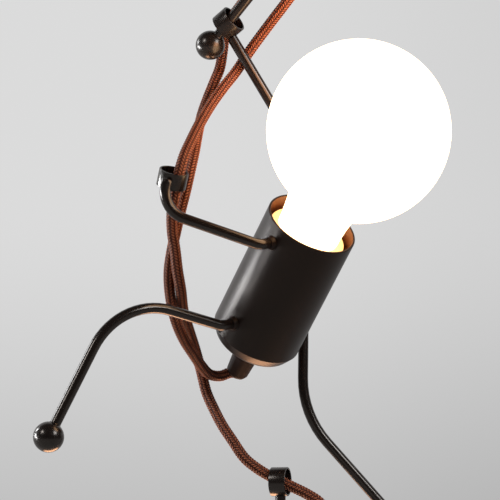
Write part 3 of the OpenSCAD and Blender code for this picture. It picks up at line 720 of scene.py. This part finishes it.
# each finish: its darkest and lightest tone, range of roughness, grain scale and depth, and plain sockets
finishSetup = {
    "cupPaint": {"dark": (0.0070, 0.0034, 0.0024), "light": (0.0115, 0.0058, 0.0042), "rough": (0.32, 0.37),
                 "fine": 1400, "bump": 0.004,
                 "Specular IOR Level": 0.24, "Specular Tint": (1.0, 0.86, 0.76, 1)},
    # the bore's paint is the cup's paint made lighter and copper: painted glow of the bulb's light
    "cupInsideGlow": {"dark": (0.062, 0.020, 0.0075), "light": (0.09, 0.030, 0.0115), "rough": (0.3, 0.4),
                  "fine": 900, "bump": 0.04},
    "rodPaint": {"dark": (0.0080, 0.0050, 0.0041), "light": (0.013, 0.0085, 0.0070), "rough": (0.19, 0.24),
                 "fine": 1800, "bump": 0.002,
                 "Specular IOR Level": 0.5, "Specular Tint": (1.0, 0.9, 0.82, 1)},
    "ballPaint": {"dark": (0.0070, 0.0044, 0.0036), "light": (0.011, 0.0072, 0.0060), "rough": (0.22, 0.27),
                  "fine": 1800, "bump": 0.003,
                  "Specular IOR Level": 0.5, "Specular Tint": (1.0, 0.9, 0.82, 1)},
    "darkScrew": {"dark": (0.03, 0.026, 0.023), "light": (0.05, 0.044, 0.04), "rough": (0.35, 0.5),
                  "fine": 1200, "bump": 0.06, "Metallic": 0.6},
    "blackPlastic": {"dark": (0.019, 0.0086, 0.0058), "light": (0.029, 0.0135, 0.0092), "rough": (0.55, 0.66),
                     "fine": 1500, "bump": 0.06, "Specular IOR Level": 0.14},
    # white plastic tinted yellow: painted warm glow of the bulb on the lampholder
    "holderWarmGlow": {"dark": (0.80, 0.66, 0.38), "light": (0.88, 0.75, 0.46), "rough": (0.3, 0.4),
                    "fine": 400, "bump": 0.03},
    "bareBrass": {"dark": (0.66, 0.44, 0.17), "light": (0.8, 0.58, 0.27), "rough": (0.22, 0.36),
                  "fine": 900, "bump": 0.05, "Metallic": 1.0},
    "platedSteel": {"dark": (0.46, 0.45, 0.43), "light": (0.62, 0.61, 0.59), "rough": (0.26, 0.42),
                    "fine": 900, "bump": 0.06, "Metallic": 1.0},
    "capMetal": {"dark": (0.6, 0.6, 0.59), "light": (0.74, 0.74, 0.73), "rough": (0.22, 0.34),
                 "fine": 700, "bump": 0.05, "Metallic": 1.0},
    "capGlass": {"dark": (0.012, 0.012, 0.013), "light": (0.02, 0.02, 0.022), "rough": (0.1, 0.16),
                 "fine": 300, "bump": 0.02},
    "porcelain": {"dark": (0.7, 0.68, 0.62), "light": (0.78, 0.76, 0.71), "rough": (0.5, 0.62),
                  "fine": 1200, "bump": 0.08},
    "whitePlastic": {"dark": (0.72, 0.71, 0.67), "light": (0.78, 0.77, 0.74), "rough": (0.32, 0.42),
                     "fine": 600, "bump": 0.04},
    "grommetRubber": {"dark": (0.016, 0.015, 0.015), "light": (0.026, 0.025, 0.024), "rough": (0.6, 0.75),
                      "fine": 1300, "bump": 0.2},
}
finishes = {name: grainyFinish(name, **values) for name, values in finishSetup.items()}


def opalFinish():
    # lit glass: bright all over, with a slight drift in its warmth
    mat, tree, shader = newFinish("opalGlass")
    shader.inputs["Base Color"].default_value = (0.9, 0.88, 0.84, 1)
    shader.inputs["Roughness"].default_value = 0.22
    where = tree.nodes.new("ShaderNodeTexCoord")
    soft = addNode(tree, "ShaderNodeTexNoise", Scale=18.0, Detail=2.0)
    warm = tree.nodes.new("ShaderNodeMix")
    warm.data_type = "RGBA"
    warm.inputs["A"].default_value = (1.0, 0.60, 0.30, 1)
    warm.inputs["B"].default_value = (1.0, 0.64, 0.35, 1)
    tree.links.new(where.outputs["Object"], soft.inputs["Vector"])
    tree.links.new(soft.outputs["Fac"], warm.inputs["Factor"])
    tree.links.new(warm.outputs["Result"], shader.inputs["Emission Color"])
    shader.inputs["Emission Strength"].default_value = 4.6
    return mat


finishes["opalGlass"] = opalFinish()


def braidFinish():
    # the yarn is painted dark between the stitches as painted shade and light on top of them as painted
    # highlight, with fine fibres
    mat, tree, shader = newFinish("braidedYarn")
    stitchShade = tree.nodes.new("ShaderNodeAttribute")
    stitchShade.attribute_name = "stitchShade"
    split = tree.nodes.new("ShaderNodeSeparateColor")
    tree.links.new(stitchShade.outputs["Color"], split.inputs["Color"])
    # dark to light with the stitch's height: painted shade in the hollows, painted highlight on the tops
    ramp = tree.nodes.new("ShaderNodeValToRGB")
    ramp.color_ramp.elements[0].position = 0.15
    ramp.color_ramp.elements[0].color = (0.012, 0.0028, 0.0015, 1)
    ramp.color_ramp.elements[1].position = 0.98
    ramp.color_ramp.elements[1].color = (0.43, 0.142, 0.068, 1)
    mid = ramp.color_ramp.elements.new(0.5)
    mid.color = (0.132, 0.030, 0.0125, 1)
    tree.links.new(split.outputs["Red"], ramp.inputs["Fac"])
    where = tree.nodes.new("ShaderNodeTexCoord")
    fibre = addNode(tree, "ShaderNodeTexNoise", Scale=2600.0, Detail=2.0)
    tree.links.new(where.outputs["Object"], fibre.inputs["Vector"])
    drift = addNode(tree, "ShaderNodeMapRange", **{"To Min": 0.78, "To Max": 1.22})
    tree.links.new(fibre.outputs["Fac"], drift.inputs["Value"])
    shade = tree.nodes.new("ShaderNodeMix")
    shade.data_type = "RGBA"
    shade.blend_type = "MULTIPLY"
    shade.inputs["Factor"].default_value = 1.0
    tree.links.new(ramp.outputs["Color"], shade.inputs["A"])
    tree.links.new(drift.outputs["Result"], shade.inputs["B"])
    tree.links.new(shade.outputs["Result"], shader.inputs["Base Color"])
    dent = addNode(tree, "ShaderNodeBump", Strength=0.35, Distance=0.00012)
    tree.links.new(fibre.outputs["Fac"], dent.inputs["Height"])
    tree.links.new(dent.outputs["Normal"], shader.inputs["Normal"])
    shader.inputs["Roughness"].default_value = 0.68
    shader.inputs["Specular IOR Level"].default_value = 0.25
    shader.inputs["Sheen Weight"].default_value = 0.08
    shader.inputs["Sheen Roughness"].default_value = 0.4
    return mat


finishes["braidedYarn"] = braidFinish()


def dress(obj, mat):
    obj.data.materials.clear()
    obj.data.materials.append(mat)


for obj, finish in pieces.values():
    dress(obj, finishes[finish])
for cord in (feedCord, linkCord):
    dress(cord, finishes["braidedYarn"])
# the cup's bore gets a lighter copper paint: painted glow of the bulb's warm light on the inside
for face in cupShell.data.polygons:
    at = cupFrame.inverted() @ (face.center / mm)
    across = math.hypot(at.x, at.y)
    if at.z < -0.3 and across < cup["r"] - 0.7 and at.z > -cup["length"] + 0.6:
        outWall = max(across - (cup["r"] - cup["corner"]), 0)
        drop = -cup["length"] + cup["corner"] - at.z
        if outWall == 0 or drop <= 0 or math.hypot(outWall, drop) < cup["corner"] - 0.6:
            face.material_index = 1
cupShell.data.materials.append(finishes["cupInsideGlow"])

# solids that stay as they are get the finish of their slot
slotFinish = {"dark_paint": "rodPaint", "plated_steel": "platedSteel", "black_plastic": "blackPlastic",
              "white_plastic": "whitePlastic", "brass": "bareBrass", "grommet_rubber": "grommetRubber",
              "holder_white": "holderWarmGlow", "porcelain": "porcelain", "opal_glass": "opalGlass",
              "cap_metal": "capMetal", "cap_glass": "capGlass", "rust_cord": "braidedYarn"}
solidSharp = 35
for entry in frame["record"]["subparts"]:
    obj = nodeObjects[entry["node"]]
    finish = "darkScrew" if entry["node"] == "grip_screw" else slotFinish[entry["material_slot"]]
    dress(obj, finishes[finish])
    obj.data.shade_smooth()
    obj.data.set_sharp_from_angle(angle=math.radians(solidSharp))
print("finishes set")

# wall behind and floor far below
stageSetup = {"wallY": 2.6, "floorZ": -1.3, "side": 6, "wallTop": 4, "light": 0.71, "dark": 0.47,
              "darkBelow": -0.95, "lightAbove": -0.15, "rightFall": 0.07, "fallFrom": -0.15, "fallTo": 0.55,
              "plain": (0.7, 0.7, 0.7, 1)}


def stagePlane(name, verts):
    mesh = bpy.data.meshes.new(name)
    mesh.from_pydata(verts, [], [(0, 1, 2, 3)])
    obj = bpy.data.objects.new(name, mesh)
    scene.collection.objects.link(obj)
    return obj


def stageFinish(name):
    # seen by the camera and in reflections as a plain pale grey, a little darker low down and to the right
    mat = bpy.data.materials.new(name)
    mat.use_nodes = True
    tree = mat.node_tree
    tree.nodes.clear()
    out = tree.nodes.new("ShaderNodeOutputMaterial")
    path = tree.nodes.new("ShaderNodeLightPath")
    seen = addNode(tree, "ShaderNodeMath", operation="MAXIMUM")
    also = addNode(tree, "ShaderNodeMath", operation="MAXIMUM")
    tree.links.new(path.outputs["Is Camera Ray"], seen.inputs[0])
    tree.links.new(path.outputs["Is Glossy Ray"], seen.inputs[1])
    tree.links.new(seen.outputs[0], also.inputs[0])
    tree.links.new(path.outputs["Is Transmission Ray"], also.inputs[1])
    where = tree.nodes.new("ShaderNodeTexCoord")
    split = tree.nodes.new("ShaderNodeSeparateXYZ")
    tree.links.new(where.outputs["Object"], split.inputs["Vector"])
    high = addNode(tree, "ShaderNodeMapRange", interpolation_type="SMOOTHSTEP", **{
        "From Min": stageSetup["darkBelow"], "From Max": stageSetup["lightAbove"],
        "To Min": stageSetup["dark"], "To Max": stageSetup["light"]})
    tree.links.new(split.outputs["Z"], high.inputs["Value"])
    fall = addNode(tree, "ShaderNodeMapRange", interpolation_type="SMOOTHSTEP", **{
        "From Min": stageSetup["fallFrom"], "From Max": stageSetup["fallTo"],
        "To Min": 0.0, "To Max": stageSetup["rightFall"]})
    tree.links.new(split.outputs["X"], fall.inputs["Value"])
    tone = addNode(tree, "ShaderNodeMath", operation="SUBTRACT")
    tree.links.new(high.outputs["Result"], tone.inputs[0])
    tree.links.new(fall.outputs["Result"], tone.inputs[1])
    glow = tree.nodes.new("ShaderNodeEmission")
    tree.links.new(tone.outputs[0], glow.inputs["Color"])
    plain = tree.nodes.new("ShaderNodeBsdfDiffuse")
    plain.inputs["Color"].default_value = stageSetup["plain"]
    mix = tree.nodes.new("ShaderNodeMixShader")
    tree.links.new(also.outputs[0], mix.inputs["Fac"])
    tree.links.new(plain.outputs[0], mix.inputs[1])
    tree.links.new(glow.outputs[0], mix.inputs[2])
    tree.links.new(mix.outputs[0], out.inputs["Surface"])
    return mat


side, wallY, floorZ = stageSetup["side"], stageSetup["wallY"], stageSetup["floorZ"]
wallTop = stageSetup["wallTop"]
wall = stagePlane("backWall", [(-side, wallY, floorZ), (side, wallY, floorZ), (side, wallY, wallTop),
                               (-side, wallY, wallTop)])
floor = stagePlane("paleFloor", [(-side, -side, floorZ), (side, -side, floorZ), (side, wallY, floorZ),
                                 (-side, wallY, floorZ)])
pale = stageFinish("paleGrey")
wall.data.materials.append(pale)
floor.data.materials.append(pale)

world = bpy.data.worlds.new("studio")
scene.world = world
world.use_nodes = True
world.node_tree.nodes["Background"].inputs["Color"].default_value = (0.075, 0.073, 0.072, 1)
world.node_tree.nodes["Background"].inputs["Strength"].default_value = 1.0

# studio light: panels on both sides and in front, and the bulb's warm light thrown back from below
lightSetup = {
    "windowLeft": {"place": (-1.14, 0.25, -0.315), "aim": (-0.03, 0.02, -0.25), "size": (0.65, 0.09),
                   "power": 11.0, "colour": (0.92, 0.96, 1.0), "roll": -27},
    "windowHigh": {"place": (-1.05, 0.50, 0.16), "aim": (-0.12, -0.03, -0.31), "size": (0.25, 0.25),
                   "power": 4.0, "colour": (0.92, 0.96, 1.0)},
    "windowRight": {"place": (0.85, -0.55, 0.30), "aim": (0.03, 0.05, -0.38), "size": (0.4, 0.4),
                    "power": 7.0, "colour": (0.93, 0.97, 1.0)},
    "fillFront": {"place": (-1.3, -0.9, 0.75), "aim": (-0.04, 0, -0.25), "size": (0.4, 0.4),
                  "power": 8.5, "colour": (1, 1, 1)},
    "warmBelow": {"place": (-0.075, 0.30, -0.765), "aim": (-0.03, 0.035, -0.32), "size": (0.4, 0.22),
                  "power": 3.0, "colour": (1.0, 0.52, 0.28), "seen": False},
    "globeSide": {"place": (0.004, -0.016, -0.143), "aim": (-0.03, 0.035, -0.158), "size": (0.05, 0.05),
                  "power": 0.07, "colour": (1.0, 0.52, 0.29), "seen": False},
}


def softLight(name, place, aim, size, power, colour, roll=0, seen=True):
    data = bpy.data.lights.new(name, "AREA")
    data.shape = "RECTANGLE"
    data.size, data.size_y = size
    data.energy = power
    data.color = colour
    obj = bpy.data.objects.new(name, data)
    obj.location = place
    look = (Vector(aim) - Vector(place)).to_track_quat("-Z", "Y")
    obj.rotation_euler = (look @ Quaternion((0, 0, 1), math.radians(roll))).to_euler()
    obj.visible_camera = seen
    scene.collection.objects.link(obj)
    return obj


lights = {name: softLight(name, **values) for name, values in lightSetup.items()}
# the right leg is left out of this panel's light, to keep a bright line off its edge
shaded = bpy.data.collections.new("windowShade")
lights["windowLeft"].light_linking.receiver_collection = shaded
shaded.objects.link(pieces["rightLeg"][0])
shaded.collection_objects[0].light_linking.link_state = "EXCLUDE"
print("stage and lights set")
